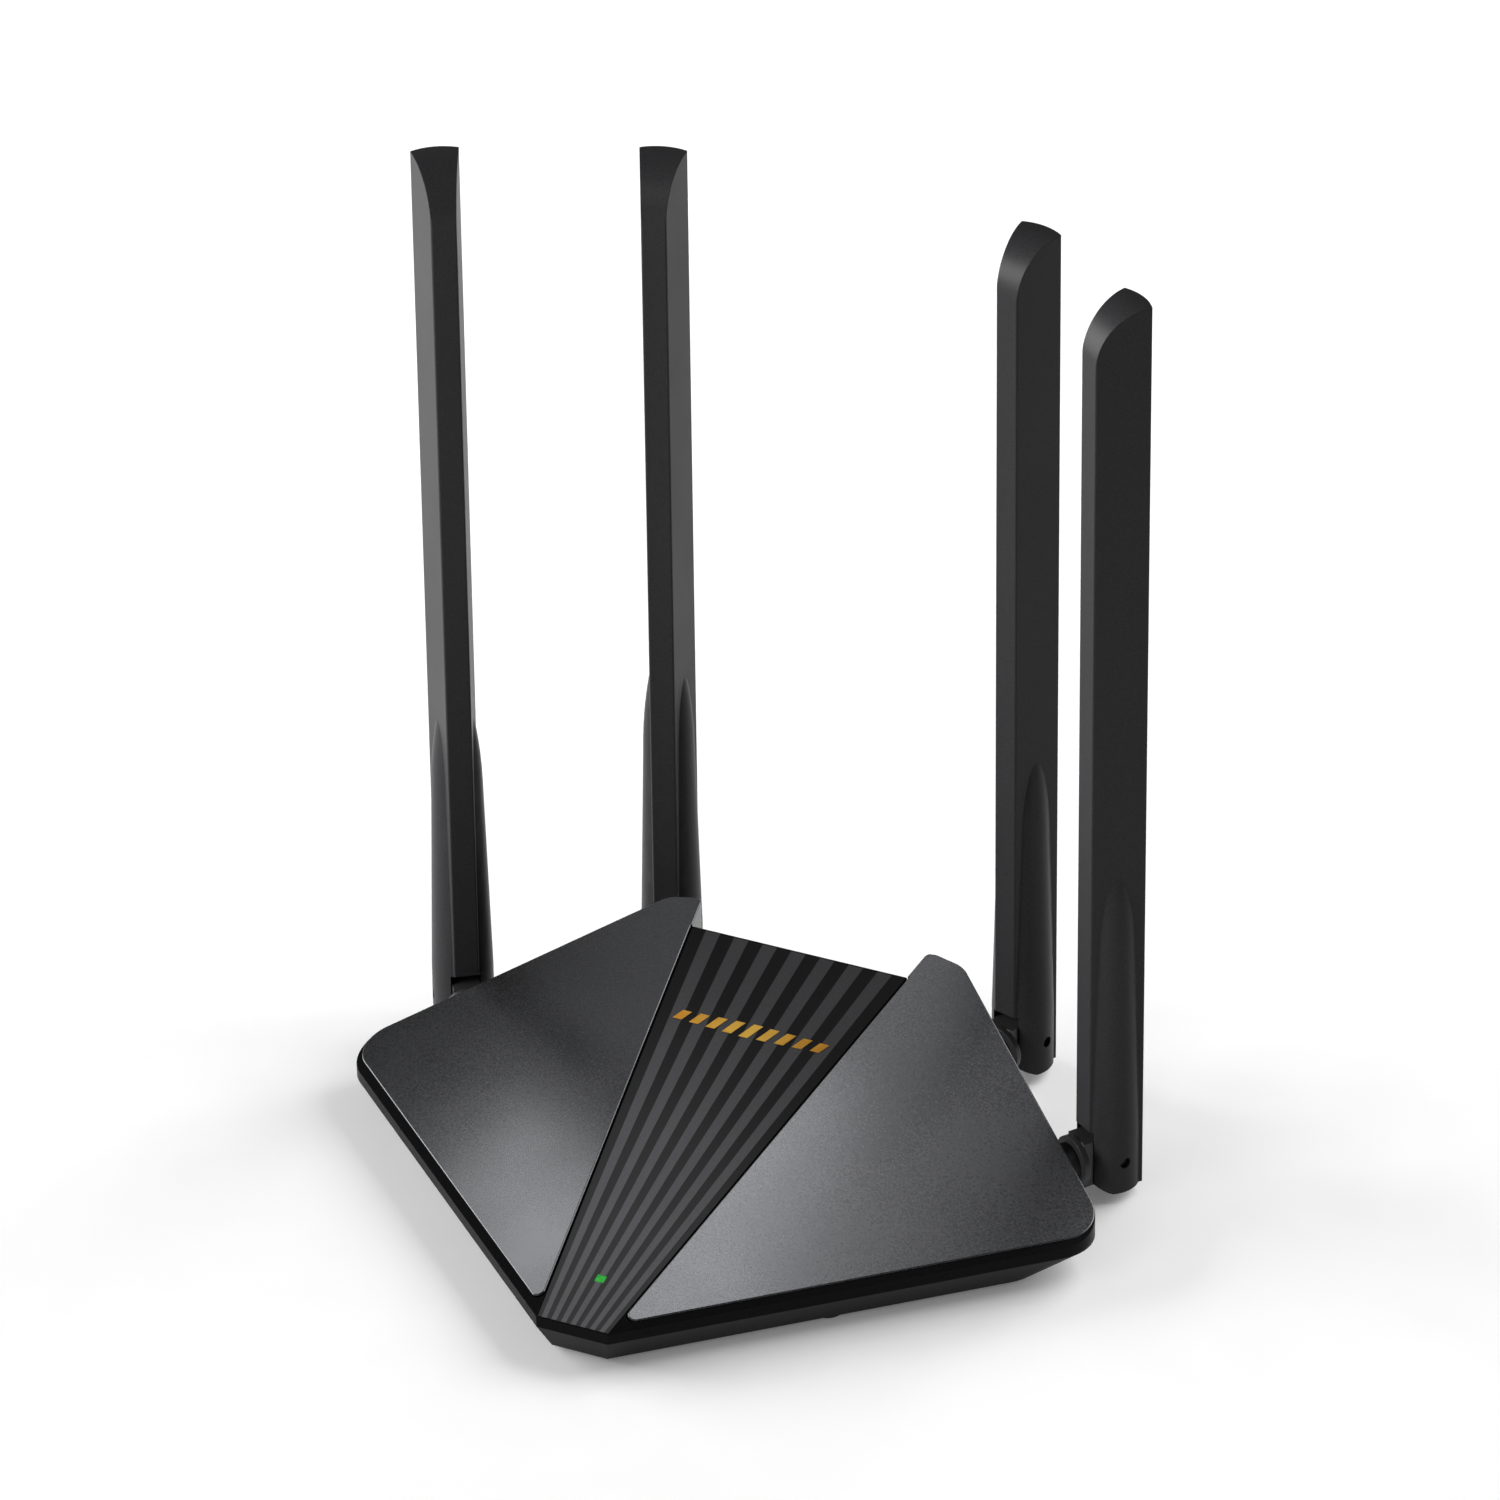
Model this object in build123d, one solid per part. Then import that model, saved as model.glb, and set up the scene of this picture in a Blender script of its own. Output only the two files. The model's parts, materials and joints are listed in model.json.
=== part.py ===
from build123d import *
from math import cos, hypot, radians, sin, sqrt, tan
import os

# A desktop wireless router. It is drawn with the desk at z = 0 and the case's widest line at y = 0, and is
# written out with its origin on the desk below the middle of its bounding box.
# +X is the router's right as seen from its pointed front, +Y points to the rear sockets, +Z is up.
# All sizes are in millimetres and all angles in degrees.

# Case outline and roof
RIM_Z = 12.5  # height of the level front rim of the roof
HALF_FRONT = 10.0  # half the width of the blunt nose
NOSE_Y = -90.3
CORNER_X = 110.2  # side corner before rounding, at y = 0
TAIL_X = 32.5  # inner corner of a swallow tail
TAIL_Y = 60.0
NOTCH_Y = 49.5  # rear edge of the roof between the tails
SIDE_NORMAL = 41.5  # outward normal of the side edge, from +Y towards +X
CORNER_R = 11.5
TAIL_OUTER_R = 6.0
TAIL_INNER_R = 2.6
WING_SLOPE = 0.328  # rise per mm away from the front rim
PANEL_SLOPE = 0.211  # rise per mm towards the rear
BAND = 3.44  # height of the roof's vertical band above the seam
WALL = 1.8
ROOF_T = 2.6

# Wings and centre panel, let into the roof
BEZEL_DROP = 0.4  # bezel surface below the wing surface
PANEL_DROP = 0.5
INLAY_T = 1.4
BEZEL_W = 2.4  # bezel showing in front of a wing
WING_TIP_R = 1.8
WING_EDGE_R = 0.35  # softened top edge of a wing
SEAM_GAP = 0.35  # gap between a wing and the centre panel
SEAT_GAP = 0.05
TAIL_SKIRT = 9.0  # how far a wing turns down inside its tail
SKIRT_T = 1.0
BARS = 9  # slanted bars on the centre panel
BAR_PITCH = 4.9
BAR_HALF_W = 1.3
BAR_TALL = 5.2
BAR_STEP = 0.45  # each bar is this much shorter than its inner neighbour
BAR_LEAN = 0.45
BAR_T = 0.12
BARS_Y = 19.0

# Lower case
BOTTOM_Z = 1.4
FLOOR_Z = BOTTOM_Z + WALL
SEAM_Z = RIM_Z - BAND
FRONT_TAPER = 4.5
NOSE_TAPER = 4.1
SIDE_TAPER = 12.0
REAR_TAPER = 14.0
DECK_TOP = 20.0
DECK_UNDER = 18.5
BLOCK_X = 56.5  # half the width of the rear socket block
BLOCK_REAR_Y = 64.0
BLOCK_CUT = (5.5, 7.0)  # cut-off rear corners of the block
BLOCK_START_Y = 30.0
REGION_Y = 47.5  # the upper casing holds everything behind this above the deck
ROOM = 70.0  # taller than the case
LOUVRES = 15
LOUVRE_PITCH = 3.6
LOUVRE_W = 1.8
LOUVRE_Z = (23.5, 37.5)
VENT_ROWS = 4
VENT_COLUMNS = 9
VENT_PITCH = (6.0, 11.0)
VENT_SIZE = (2.2, 8.0)
VENT_START_Y = 2.0

# Fastening and standing
SCREWS = ((0.0, -58.0), (-54.0, -15.0), (54.0, -15.0), (-40.0, 26.0), (40.0, 26.0))
POST_R = 3.2
SCREW_HEAD_R = 2.7
SCREW_HEAD_H = 1.0
SCREW_R = 1.2
SCREW_L = 9.0
SCREW_PLAY = 0.5
HEAD_POCKET = 1.2
FEET = ((-48.6, -41.5), (48.6, -41.5), (-42.0, 53.0), (42.0, 53.0))
FOOT_R = 5.0
FOOT_EDGE = 0.4
KEY_R = 4.0  # wall-mount keyhole: round entry, then a slot towards the rear
KEY_SLOT = 4.2
KEY_RUN = 10.0
KEY_X = 30.0
KEY_Y = -12.0

# Antennas
PIN_Z = 12.0
OUTER_HINGE = (93.0, 38.0)
INNER_HINGE = (51.0, 79.5)
OUTER_TURN = 34.0  # outward direction of the hinge, from +Y
INNER_TURN = 14.0
OUTER_LENGTH = 250.5  # pin to tip
INNER_LENGTH = 239.0
FACE_HALF = 3.3  # half width of the flat inner face
BACK_HALF = 6.3
BACK_RISE = 1.5  # how far the back bows out
BLADE_EDGE_R = 0.5
SHELL_T = 1.6
SLEEVE_DEPTH = 8.0
SLEEVE_R = 8.2
SLEEVE_BOTTOM = -9.0
NARROWS_Z = 9.0  # where the round sleeve starts to taper
SHOULDER_R = 6.8
SHOULDER_Z = 66.0
RUN_OUT_R = 4.6  # inside the blade, so the sleeve runs out as an arch on each side
RUN_OUT_Z = 87.0
CORE_START_Z = 17.0
TIP_R = 14.0
POCKET_HALF = 4.1
POCKET_TOP = 9.6
KNUCKLE_HALF = 3.8
KNUCKLE_R = 6.6
HINGE_GAP = 0.35
PIN_R = 1.5
PIN_HALF = 7.1
DISC_OUT = -9.9  # outer face of the swivel disc, from the pin
DISC_T = 1.6
DISC_R = 7.0
COLLAR_R = 5.4
SHAFT_R = 3.0
SHAFT_PLAY = 0.05
SHAFT_END = 0.8  # shaft left beyond the clip
GROOVE = 0.6
CLIP_R = 4.7
CLIP_T = 1.0
CLIP_MOUTH = 2.0
COAX_R = 0.7
COAX_BORE_R = 1.0
ELEMENT_START_Z = 60.0
ELEMENT_SHORT = 45.0  # the element stops this far below the tip
ELEMENT_SIZE = (4.2, 0.8)

# Circuit board and what stands on it
BOARD_Z = 4.4
BOARD_T = 1.6
BOARD_TOP = BOARD_Z + BOARD_T
BOARD_OUTLINE = [
    (9.0, -80.0),
    (9.0, -70.0),
    (30.0, -50.0),
    (62.0, -14.0),
    (62.0, 18.0),
    (46.0, 40.0),
    (40.0, 48.0),
    (40.0, 61.5),
]
CHIP_SIZE = (14.0, 14.0, 1.4)
MEMORY_SIZE = (12.5, 8.0, 1.1)
MEMORY_Y = 20.5
SINK_WIDTH = 26.0
SINK_BASE = 1.6
FINS = 11
FIN_PITCH = 2.4
FIN_T = 0.9
FIN_H = 7.5
CAN_X = 33.0
CAN_Y = -22.0
CAN_SIZE = (27.0, 30.0, 3.2)
CAN_T = 0.4
TRANSFORMER_SIZE = (13.0, 8.0, 5.6)
TRANSFORMER_Y = 37.0
INDUCTOR_SIZE = (6.0, 6.0, 4.2)
INDUCTORS = ((23.5, 25.0), (23.5, 33.0))
CAPACITORS = ((33.0, 42.0, 4.0, 8.5), (24.0, 42.5, 3.15, 7.0), (32.0, 33.0, 3.15, 7.0))
OUTER_PAD = (55.5, 2.0)  # where an outer antenna's lead meets the board
INNER_PAD = (50.0, 14.0)
CONNECTOR_R = 1.6
CONNECTOR_H = 2.0
LED_Y = -73.1
LED_SIZE = (1.6, 0.8, 0.7)
PIPE_W = 2.5
PIPE_L = 2.3
PIPE_LIFT = 1.4

# Rear sockets and the button
DC_X = 32.0
BUTTON_X = 21.5
WAN_X = 7.5
LAN_INNER_X = -10.5
LAN_OUTER_X = -28.5
JACKS_X = (WAN_X, LAN_INNER_X, LAN_OUTER_X)
JACK_W = 16.0
JACK_H = 12.2
JACK_D = 15.5
JACK_FRONT_Y = BLOCK_REAR_Y - 0.5
JACK_HOLES = ((11.8, 7.0, 6.6), (6.4, 2.0, 2.4), (3.6, 1.0, 1.5))  # mouth, latch, latch tip: width, height, middle
JACK_HOLE_D = 11.5
CONTACTS = 8
CONTACT_PITCH = 1.02
CONTACT_SIZE = (0.4, 7.0, 0.3)
CONTACT_TILT = -14.0
DC_W = 9.0
DC_D = 13.0
DC_H = 11.0
DC_BORE_R = 3.1
DC_BORE_D = 9.0
DC_PIN_R = 1.0
DC_AXIS = 6.3  # above the board
SOCKET_GAP = 0.2
BUTTON_Z = 11.0
BUTTON_R = 2.8
BUTTON_FLANGE = 1.1
STEM_R = 1.1
PLUNGER_R = 1.4
SWITCH_FRONT_Y = BLOCK_REAR_Y - 8.0
SWITCH_SIZE = (6.0, 3.6, 8.0)

ON_BASE = (Align.CENTER, Align.CENTER, Align.MIN)

# Name: hinge x and y, turn of the hinge, length from pin to tip
ANTENNAS = {
    "front_left": (-OUTER_HINGE[0], OUTER_HINGE[1], OUTER_TURN, OUTER_LENGTH),
    "front_right": (OUTER_HINGE[0], OUTER_HINGE[1], -OUTER_TURN, OUTER_LENGTH),
    "rear_left": (-INNER_HINGE[0], INNER_HINGE[1], INNER_TURN, INNER_LENGTH),
    "rear_right": (INNER_HINGE[0], INNER_HINGE[1], -INNER_TURN, INNER_LENGTH),
}
# How far the collar reaches in from the swivel disc
COLLAR_END = {"front_left": -22.6, "front_right": -22.6, "rear_left": -21.0, "rear_right": -21.0}


# General shapes


def group(shapes):
    """Separate solids kept together as one node."""
    return Compound([solid for shape in shapes for solid in shape.solids()])


def rod(radius, height):
    """A cylinder standing on its own origin."""
    return Cylinder(radius, height, align=ON_BASE)


def mirrored(shape):
    """The left-hand twin of a right-hand shape."""
    return mirror(shape, about=Plane.YZ)


def polygon(points):
    return make_face(Polyline(points, close=True))


def slab(face, low, high):
    """A face in plan pulled up from one height to another."""
    return extrude(Pos(0, 0, low) * face, high - low)


def near(shape, points, reach=0.5):
    """The vertices of a flat shape that lie at the given points."""
    return [v for v in shape.vertices() if any(hypot(v.X - x, v.Y - y) < reach for x, y in points)]


def both_sides(right_points):
    """A closed loop through the right-hand points and their mirror images."""
    left = [(-x, y) for x, y in reversed(right_points)]
    return right_points + left


def on_board(x, y, width, depth, height):
    """A block standing on the circuit board."""
    return Pos(x, y, BOARD_TOP) * Box(width, depth, height, align=ON_BASE)


def rounded_block(x, y, size, radius):
    block = on_board(x, y, *size)
    return fillet(block.edges().filter_by(Axis.Z), radius)


# Outline and roof planes


def rim_direction():
    """Unit vector along the right front rim, from the nose to the side corner."""
    run = hypot(CORNER_X - HALF_FRONT, -NOSE_Y)
    return ((CORNER_X - HALF_FRONT) / run, -NOSE_Y / run)


def lines():
    """The case's right-hand outline as lines: outward normal and distance from the origin."""
    along = rim_direction()
    front = (along[1], -along[0])
    side = (sin(radians(SIDE_NORMAL)), cos(radians(SIDE_NORMAL)))
    return {
        "nose": ((0.0, -1.0), -NOSE_Y),
        "front": (front, front[0] * CORNER_X),
        "side": (side, side[0] * CORNER_X),
        "rear": ((0.0, 1.0), TAIL_Y),
    }


def crossing(first, second, inset_first=0.0, inset_second=0.0):
    """Where two outline lines cross once each is moved inwards."""
    (a, b), p = first[0], first[1] - inset_first
    (c, d), q = second[0], second[1] - inset_second
    det = a * d - b * c
    return ((p * d - b * q) / det, (a * q - p * c) / det)


def outline_points(nose, front, side, rear):
    """Right-hand corners of the outline, each line moved in by its own inset."""
    sides = lines()
    return [
        crossing(sides["nose"], sides["front"], nose, front),
        crossing(sides["front"], sides["side"], front, side),
        crossing(sides["side"], sides["rear"], side, rear),
    ]


def outline_face(nose, front, side, rear, corner_r):
    """The case outline as a face, with rounded side corners."""
    right = outline_points(nose, front, side, rear)
    face = polygon(both_sides(right))
    return fillet(near(face, [right[1], (-right[1][0], right[1][1])]), corner_r)


def case_outline(inset=0.0):
    """The case outline at the seam, moved in all round."""
    return outline_face(inset, inset, inset, inset, CORNER_R - inset)


def base_outline(share, inset=0.0):
    """The tapered base's outline, at a share of the way from the seam down to the bottom."""
    tapers = (NOSE_TAPER, FRONT_TAPER, SIDE_TAPER, REAR_TAPER)
    return outline_face(*[inset + taper * share for taper in tapers], CORNER_R - inset)


def wing_plane(drop=0.0):
    """The plane of the right wing, lowered by drop."""
    along = rim_direction()
    origin = Vector(HALF_FRONT, NOSE_Y, RIM_Z - drop)
    uphill = Vector(-along[1], along[0], WING_SLOPE)
    x_dir = Vector(along[0], along[1], 0)
    return Plane(origin, x_dir=x_dir, z_dir=x_dir.cross(uphill))


def panel_plane(drop=0.0):
    """The plane of the centre panel, lowered by drop."""
    z_dir = Vector(1, 0, 0).cross(Vector(0, 1, PANEL_SLOPE))
    return Plane(Vector(0, NOSE_Y, RIM_Z - drop), x_dir=Vector(1, 0, 0), z_dir=z_dir)


def above(plane):
    """A large block standing on a plane, used to cut off all that lies above it."""
    return plane * Box(600, 600, 200, align=ON_BASE)


def below_roof(solid, drop=0.0):
    """What is left of a solid under the three roof planes lowered by drop."""
    right = above(wing_plane(drop))
    return solid - right - mirrored(right) - above(panel_plane(drop))


def inner_run():
    """How far the line between wing and panel moves out for each mm towards the rear."""
    return (TAIL_X - HALF_FRONT) / (TAIL_Y - NOSE_Y)


def inner_line_x(y, inset=0.0):
    """X of the right wing's inner edge, moved towards +X by the inset."""
    return HALF_FRONT + inner_run() * (y - NOSE_Y) + inset * sqrt(1 + inner_run() ** 2)


def roof_face():
    """The roof in plan: the outline less the notch, with rounded tails."""
    right = outline_points(0, 0, 0, 0)
    tail_in = (inner_line_x(TAIL_Y), TAIL_Y)
    foot = (inner_line_x(NOTCH_Y), NOTCH_Y)
    face = polygon(both_sides(right + [tail_in, foot]))
    for point, radius in ((right[1], CORNER_R), (right[2], TAIL_OUTER_R), (tail_in, TAIL_INNER_R)):
        face = fillet(near(face, [point, (-point[0], point[1])]), radius)
    return face


def block_face(inset=0.0):
    """The rear socket block in plan."""
    right = [
        (BLOCK_X - inset, BLOCK_START_Y),
        (BLOCK_X - inset, BLOCK_REAR_Y - BLOCK_CUT[1] - inset / 2),
        (BLOCK_X - BLOCK_CUT[0] - inset / 2, BLOCK_REAR_Y - inset),
    ]
    return polygon(both_sides(right))


def tail_region():
    """Everything behind REGION_Y and above the deck's underside."""
    return Pos(0, REGION_Y, DECK_UNDER) * Box(200, 60, 60, align=(Align.CENTER, Align.MIN, Align.MIN))


# Wings, centre panel and what shows in it


def wing_face(inner_inset, front_inset):
    """The right wing's outline in plan."""
    sides = lines()
    corner = crossing(sides["front"], sides["side"], front_inset, 0)
    outer = crossing(sides["side"], sides["rear"])
    tail_in = (inner_line_x(TAIL_Y, inner_inset), TAIL_Y)
    length = sqrt(1 + inner_run() ** 2)
    inner = ((-1 / length, inner_run() / length), -inner_line_x(0, inner_inset) / length)
    tip = crossing(inner, sides["front"], 0, front_inset)
    face = polygon([tip, corner, outer, tail_in])
    radii = (WING_TIP_R, CORNER_R - front_inset, TAIL_OUTER_R, TAIL_INNER_R)
    for point, radius in zip((tip, corner, outer, tail_in), radii):
        face = fillet(near(face, [point]), radius)
    return face


def wing_solid(inner_inset, front_inset, top_drop, thickness):
    """A plate parallel to the right wing plane."""
    column = slab(wing_face(inner_inset, front_inset), 0, ROOM)
    return (column - above(wing_plane(top_drop))) & above(wing_plane(top_drop + thickness))


def tail_skirt(thickness):
    """The strip of wing that turns down the inner wall of the right tail."""
    start = NOTCH_Y + 0.4
    points = [
        (inner_line_x(start), start),
        (inner_line_x(start, thickness), start),
        (inner_line_x(TAIL_Y, thickness), TAIL_Y),
        (inner_line_x(TAIL_Y), TAIL_Y),
    ]
    column = slab(polygon(points), 0, ROOM) & slab(roof_face(), 0, ROOM)
    return (column - above(wing_plane())) & above(wing_plane(TAIL_SKIRT))


def right_wing_panel():
    """The right wing: a thin sloping plate with a softened top edge and its skirt."""
    plate = wing_solid(SEAM_GAP, BEZEL_W, 0, INLAY_T)
    wing = (plate + tail_skirt(SKIRT_T)).clean()
    top = max(wing.faces(), key=lambda face: face.center().dot(wing_plane().z_dir) * (face.area > 1000))
    return fillet(top.edges(), WING_EDGE_R)


def panel_solid(gap, drop, thickness):
    """A plate parallel to the centre panel's plane, narrower than the panel's seat by the gap."""
    rear = NOTCH_Y - 0.2
    nose = NOSE_Y + 0.5
    right = [(inner_line_x(nose, -gap), nose), (inner_line_x(rear, -gap), rear)]
    column = slab(polygon(both_sides(right)), 0, ROOM)
    return (column - above(panel_plane(drop))) & above(panel_plane(drop + thickness))


def pipe_hole(play):
    return Pos(0, LED_Y, BOARD_TOP) * Box(PIPE_W + play, PIPE_L + play, ROOM, align=ON_BASE)


def centre_panel():
    return panel_solid(0.25, PANEL_DROP, INLAY_T) - pipe_hole(0.2)


def light_pipe():
    """A clear rod from above the board's lamp to the panel surface."""
    pipe = Pos(0, LED_Y, BOARD_TOP + PIPE_LIFT) * Box(PIPE_W, PIPE_L, ROOM, align=ON_BASE)
    return pipe - above(panel_plane(PANEL_DROP - 0.05))


def panel_mark():
    """A plain row of slanted bars, raised a little from the centre panel."""
    bars = []
    base = panel_plane(PANEL_DROP)
    middle = (BARS_Y - NOSE_Y) * sqrt(1 + PANEL_SLOPE**2)
    for k in range(BARS):
        step = k - BARS // 2
        half = (BAR_TALL - BAR_STEP * abs(step)) / 2
        lean = BAR_LEAN * half
        x = step * BAR_PITCH
        points = [
            (x - BAR_HALF_W - lean, middle - half),
            (x + BAR_HALF_W - lean, middle - half),
            (x + BAR_HALF_W + lean, middle + half),
            (x - BAR_HALF_W + lean, middle + half),
        ]
        bars.append(extrude(base * polygon(points), BAR_T))
    return group(bars)


# Case halves


def tail_void():
    """The hollow inside both tails."""
    sides = lines()
    start = REGION_Y - 4
    inset = WALL + SKIRT_T
    points = [
        (inner_line_x(start, inset), start),
        crossing(sides["side"], ((0.0, 1.0), start), WALL, 0),
        crossing(sides["side"], sides["rear"], WALL, WALL),
        (inner_line_x(TAIL_Y - WALL, inset), TAIL_Y - WALL),
    ]
    void = slab(polygon(points), 0, ROOM)
    return void + mirrored(void)


def wing_seat():
    """The room that the right wing takes in the roof."""
    return wing_solid(0, BEZEL_W - SEAT_GAP, -1, INLAY_T + 1) + tail_skirt(SKIRT_T)


def louvres():
    """Upright slots through the wall between the tails."""
    low, high = LOUVRE_Z
    slot = Box(LOUVRE_W, 6, high - low, align=ON_BASE)
    middle = LOUVRES // 2
    return [Pos((k - middle) * LOUVRE_PITCH, REGION_Y + 1, low) * slot for k in range(LOUVRES)]


def screw_post(x, y):
    """A post under the roof that takes a case screw."""
    post = Pos(x, y, BOARD_TOP) * rod(POST_R, ROOM)
    post -= Pos(x, y, BOARD_TOP - 1) * rod(SCREW_R, 8)
    return below_roof(post, ROOF_T - 0.4)


def upper_casing():
    """Roof, bezel band, tails, rear deck and the vented wall between the tails."""
    roof = below_roof(slab(roof_face(), 0, ROOM), BEZEL_DROP)
    under_band = below_roof(slab(outline_face(-5, -5, -5, -20, 3), -10, ROOM), BAND)
    body = (roof - under_band) + (roof & tail_region())
    deck = slab(block_face(), DECK_UNDER, DECK_TOP)
    body += deck - Pos(0, REGION_Y - 50, 0) * Box(300, 100, 100)
    rear_inset = TAIL_Y - REGION_Y
    main_void = slab(outline_face(WALL, WALL, WALL, rear_inset, CORNER_R - WALL), 0, ROOM)
    body -= below_roof(main_void, ROOF_T)
    body -= below_roof(tail_void(), ROOF_T)
    seat = wing_seat()
    body -= seat
    body -= mirrored(seat)
    body -= panel_solid(0, -1, INLAY_T + 1 + PANEL_DROP)
    body -= pipe_hole(0.3)
    for slot in louvres():
        body -= slot
    for x, y in SCREWS:
        body += screw_post(x, y)
    return body


def lower_outer():
    """The lower case as a solid: tapered base, side walls and rear block."""
    base = loft([Pos(0, 0, BOTTOM_Z) * base_outline(1), Pos(0, 0, SEAM_Z) * case_outline()], ruled=True)
    walls = below_roof(slab(case_outline(), SEAM_Z, ROOM), BAND)
    block = slab(block_face(), BOTTOM_Z, DECK_UNDER)
    return base + (walls - tail_region()) + block


def lower_void():
    """The hollow of the lower case, open at the top."""
    share = 1 - WALL / (SEAM_Z - BOTTOM_Z)
    bottom = Pos(0, 0, FLOOR_Z) * base_outline(share, WALL)
    base = loft([bottom, Pos(0, 0, SEAM_Z) * case_outline(WALL)], ruled=True)
    return base + slab(case_outline(WALL), SEAM_Z, ROOM) + slab(block_face(WALL), FLOOR_Z, ROOM)


def keyhole(x, y):
    """A wall-mount keyhole through the floor."""
    entry = Pos(x, y, BOTTOM_Z) * Cylinder(KEY_R, 12)
    slot = Pos(x, y + KEY_RUN / 2, BOTTOM_Z) * Box(KEY_SLOT, KEY_RUN, 12)
    end = Pos(x, y + KEY_RUN, BOTTOM_Z) * Cylinder(KEY_SLOT / 2, 12)
    return entry + slot + end


def floor_vents():
    """Rows of slots through the floor below the board."""
    slots = []
    for row in range(VENT_ROWS):
        for column in range(VENT_COLUMNS):
            x = (column - VENT_COLUMNS // 2) * VENT_PITCH[0]
            y = VENT_START_Y + row * VENT_PITCH[1]
            slots.append(Pos(x, y, BOTTOM_Z) * Box(*VENT_SIZE, 8))
    return slots


def rear_openings():
    """The holes in the rear wall for sockets and the button."""
    cuts = []
    for x in JACKS_X:
        hole = Box(JACK_W + 2 * SOCKET_GAP, 10, JACK_H + 2 * SOCKET_GAP)
        cuts.append(Pos(x, BLOCK_REAR_Y, BOARD_TOP + JACK_H / 2) * hole)
    dc_hole = Box(DC_W + 2 * SOCKET_GAP, 10, DC_H + 2 * SOCKET_GAP)
    cuts.append(Pos(DC_X, BLOCK_REAR_Y, BOARD_TOP + DC_H / 2) * dc_hole)
    cuts.append(Pos(BUTTON_X, 0, BUTTON_Z) * along_y(BUTTON_R + SOCKET_GAP, BLOCK_REAR_Y - 5, BLOCK_REAR_Y + 5))
    return cuts


def lower_case():
    """Base with tapered walls, hinge collars, openings for the sockets, vents and keyholes."""
    body = lower_outer() - lower_void()
    for name, end in COLLAR_END.items():
        body += at_hinge(name, along_y(COLLAR_R, end, DISC_OUT - DISC_T - HINGE_GAP))
    for x, y in SCREWS:
        body += Pos(x, y, BOTTOM_Z + 1) * rod(POST_R, BOARD_Z - BOTTOM_Z - 1)
    for name, end in COLLAR_END.items():
        body -= at_hinge(name, along_y(SHAFT_R + SHAFT_PLAY, end - 1, DISC_OUT))
    for x, y in SCREWS:
        body -= Pos(x, y, 0) * rod(SCREW_R + SCREW_PLAY, BOARD_Z + 1)
        body -= Pos(x, y, 0) * rod(SCREW_HEAD_R + 0.3, BOTTOM_Z + HEAD_POCKET)
    for cut in rear_openings() + floor_vents():
        body -= cut
    for x in (-KEY_X, KEY_X):
        body -= keyhole(x, KEY_Y)
    return body


def screw(x, y):
    """A pan-head screw with a cross recess, head down in its pocket."""
    head_z = BOTTOM_Z + HEAD_POCKET - SCREW_HEAD_H
    head = Pos(x, y, head_z) * rod(SCREW_HEAD_R, SCREW_HEAD_H)
    shank = Pos(x, y, head_z + SCREW_HEAD_H) * rod(SCREW_R, SCREW_L)
    recess = Pos(x, y, head_z) * (Box(3.4, 0.6, 1.2) + Box(0.6, 3.4, 1.2))
    return head + shank - recess


def case_screws():
    return group(screw(x, y) for x, y in SCREWS)


def rubber_feet():
    """Round pads with a softened lower edge."""
    pads = []
    for x, y in FEET:
        pad = Pos(x, y, 0) * rod(FOOT_R, BOTTOM_Z)
        pads.append(chamfer(pad.edges().sort_by(Axis.Z)[0], FOOT_EDGE))
    return group(pads)


# Antennas, each drawn with its pin along x at the origin, standing up z, hinged towards +y


def at_hinge(name, shape):
    """Move a shape from an antenna's own frame to its place on the case."""
    x, y, turn, _ = ANTENNAS[name]
    return Pos(x, y, PIN_Z) * Rot(0, 0, turn) * shape


def along_y(radius, start, end):
    """A rod from one y to another."""
    return Pos(0, start, 0) * Rot(-90, 0, 0) * rod(radius, end - start)


def along_x(radius, half):
    """A rod either side of the middle, along x."""
    return Rot(0, 90, 0) * Cylinder(radius, 2 * half)


def blade_section(inset=0.0):
    """The blade's section: flat face, flared sides and a gently bowed back."""
    face_y = inset - SLEEVE_DEPTH
    corner_y = SLEEVE_DEPTH - BACK_RISE - inset
    face_half = FACE_HALF - inset * 0.8
    back_half = BACK_HALF - inset
    edges = [
        Line((-back_half, corner_y), (-face_half, face_y)),
        Line((-face_half, face_y), (face_half, face_y)),
        Line((face_half, face_y), (back_half, corner_y)),
        ThreePointArc((back_half, corner_y), (0, SLEEVE_DEPTH - inset), (-back_half, corner_y)),
    ]
    section = make_face(edges)
    return fillet(section.vertices(), BLADE_EDGE_R)


def under_tip(length):
    """Everything under the rounded tip, which curves from the inner face up to the back."""
    top_y = -SLEEVE_DEPTH + TIP_R
    outside = SLEEVE_DEPTH + 2
    low = SLEEVE_BOTTOM - 20
    curve = [
        Line((-outside, low), (-outside, length - TIP_R)),
        Line((-outside, length - TIP_R), (-SLEEVE_DEPTH, length - TIP_R)),
        CenterArc((top_y, length - TIP_R), TIP_R, 180, -90),
        Line((top_y, length), (outside, length)),
        Line((outside, length), (outside, low)),
        Line((outside, low), (-outside, low)),
    ]
    return extrude(Plane.YZ * make_face(curve), 20, both=True)


def collar_profile():
    """Half profile of the round sleeve: straight at the hinge, slowly tapering, then rounded off."""
    side = Line((SLEEVE_R, SLEEVE_BOTTOM), (SLEEVE_R, NARROWS_Z))
    taper = Line((SLEEVE_R, NARROWS_Z), (SHOULDER_R, SHOULDER_Z))
    nose = TangentArc((SHOULDER_R, SHOULDER_Z), (RUN_OUT_R, RUN_OUT_Z), tangent=taper % 1)
    back = Polyline((RUN_OUT_R, RUN_OUT_Z), (0, RUN_OUT_Z), (0, SLEEVE_BOTTOM), (SLEEVE_R, SLEEVE_BOTTOM))
    return make_face([side, taper, nose, *back.edges()])


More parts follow.
